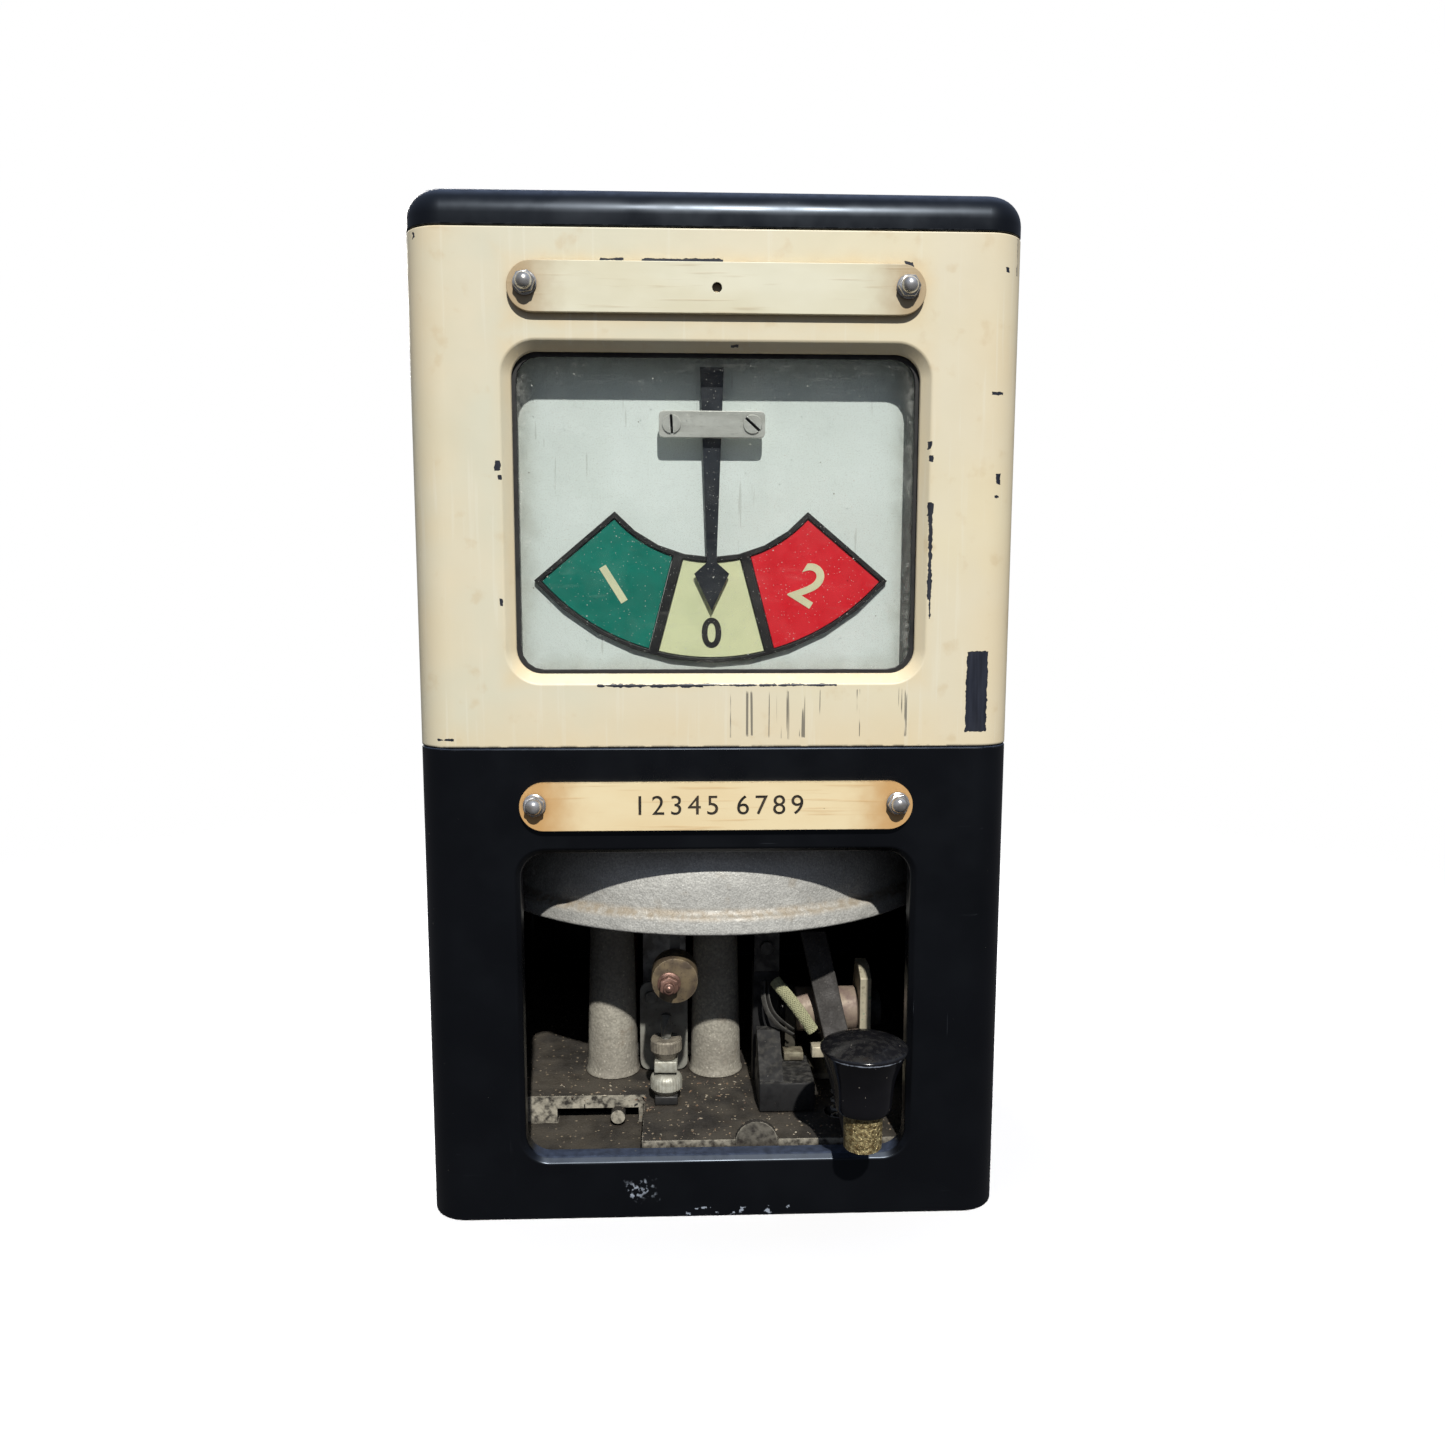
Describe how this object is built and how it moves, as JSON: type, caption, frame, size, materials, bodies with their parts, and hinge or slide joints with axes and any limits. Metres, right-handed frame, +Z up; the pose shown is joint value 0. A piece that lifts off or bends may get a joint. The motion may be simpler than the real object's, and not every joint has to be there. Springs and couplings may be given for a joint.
{
  "type": "railway block bell and needle indicator",
  "caption": "Railway block instrument: a needle indicator with coloured sectors over a single-stroke bell, gong hammer and spring-returned tapper key.",
  "frame": {"origin": "middle of the case underside, which is the flat face it stands on", "axes": "+Z up the case, -Y out of the front where the dial, gong and tapper key are seen, +X to the viewer's right"},
  "size_m": [0.216, 0.2586, 0.3733],
  "materials": {
    "black_case": "gloss black enamel, scratched",
    "cream_case": "cream paint worn through to black",
    "shelf_steel": "plain sheet steel",
    "ivorine": "aged ivorine",
    "nut_chrome": "polished, dulled",
    "rubber": "perished rubber",
    "glass": "clear, dusty",
    "plain_steel": "dull plated steel",
    "dial_white": "white, speckled with dust",
    "sector_black": "gloss black",
    "sector_green": "enamel",
    "sector_cream": "enamel",
    "sector_red": "enamel",
    "needle_black": "satin black",
    "brass": "tarnished brass",
    "hammer_brass": "dull tarnished brass",
    "ferrule_brass": "rough cast brass",
    "nickel": "dull nickel plate",
    "copper": "coppered",
    "casting": "grey, sand cast",
    "bell_metal": "sand-cast bell metal, unpolished",
    "bakelite": "black moulded",
    "braid": "cotton braid"
  },
  "bodies": {
    "case": {"base_casting": "casting", "bearing_bridge": "nickel", "bell_coil_left": "copper", "bell_coil_right": "copper", "braided_lead": "braid", "bridge_screw_left": "nickel", "bridge_screw_right": "nickel", "contact_block": "bakelite", "contact_leaf": "brass", "contact_spring": "plain_steel", "dial_plate": "dial_white", "frame_plate": "plain_steel", "glass_retainer": "plain_steel", "gong": "bell_metal", "gong_bolt": "plain_steel", "hammer_bridge": "casting", "hammer_pin": "plain_steel", "indicator_coil_left": "copper", "indicator_coil_right": "copper", "lower_case": "black_case", "lower_name_plate": "ivorine", "lower_name_plate_nut_left": "nut_chrome", "lower_name_plate_nut_right": "nut_chrome", "lower_rear_cover": "black_case", "magnet_yoke": "plain_steel", "movement_frame": "brass", "partition_shelf": "shelf_steel", "pillar_left": "casting", "pillar_right": "casting", "sector_centre": "sector_cream", "sector_frame": "sector_black", "sector_green": "sector_green", "sector_red": "sector_red", "tapper_bracket": "nickel", "tapper_pin": "plain_steel", "terminal_bush": "rubber", "terminal_nut": "plain_steel", "terminal_post": "bakelite", "terminal_stud": "plain_steel", "terminal_tab": "nickel", "top_cap": "black_case", "upper_case": "cream_case", "upper_name_plate": "ivorine", "upper_name_plate_nut_left": "nut_chrome", "upper_name_plate_nut_right": "nut_chrome", "upper_rear_cover": "cream_case", "window_gasket": "rubber", "window_glass": "glass"},
    "needle": {"needle": "needle_black", "needle_spindle": "brass"},
    "hammer": {"hammer_arm": "plain_steel", "hammer_head": "hammer_brass", "hammer_bolt": "copper", "bell_armature": "plain_steel"},
    "tapper": {"tapper_knob": "bakelite", "knob_ferrule": "ferrule_brass", "tapper_lever": "casting", "tapper_bush": "brass", "contact_point": "brass", "tapper_spring": "plain_steel"}
  },
  "joints": [
    {"name": "needle_swing", "type": "hinge", "parent": "case", "child": "needle", "pos_m": [-0.0015, -0.0968, 0.2945], "axis": [0, -1, 0], "range_deg": [-33, 33]},
    {"name": "hammer_swing", "type": "hinge", "parent": "case", "child": "hammer", "pos_m": [-0.0205, -0.034, 0.107], "axis": [-1, 0, 0], "range_deg": [0, 13.2]},
    {"name": "tapper_press", "type": "hinge", "parent": "case", "child": "tapper", "pos_m": [0.0508, -0.041, 0.0546], "axis": [1, 0, 0], "range_deg": [0, 3], "stiffness_Nm_per_rad": 1.5, "springref_deg": -5.73, "deforming": ["tapper_spring"]}
  ]
}
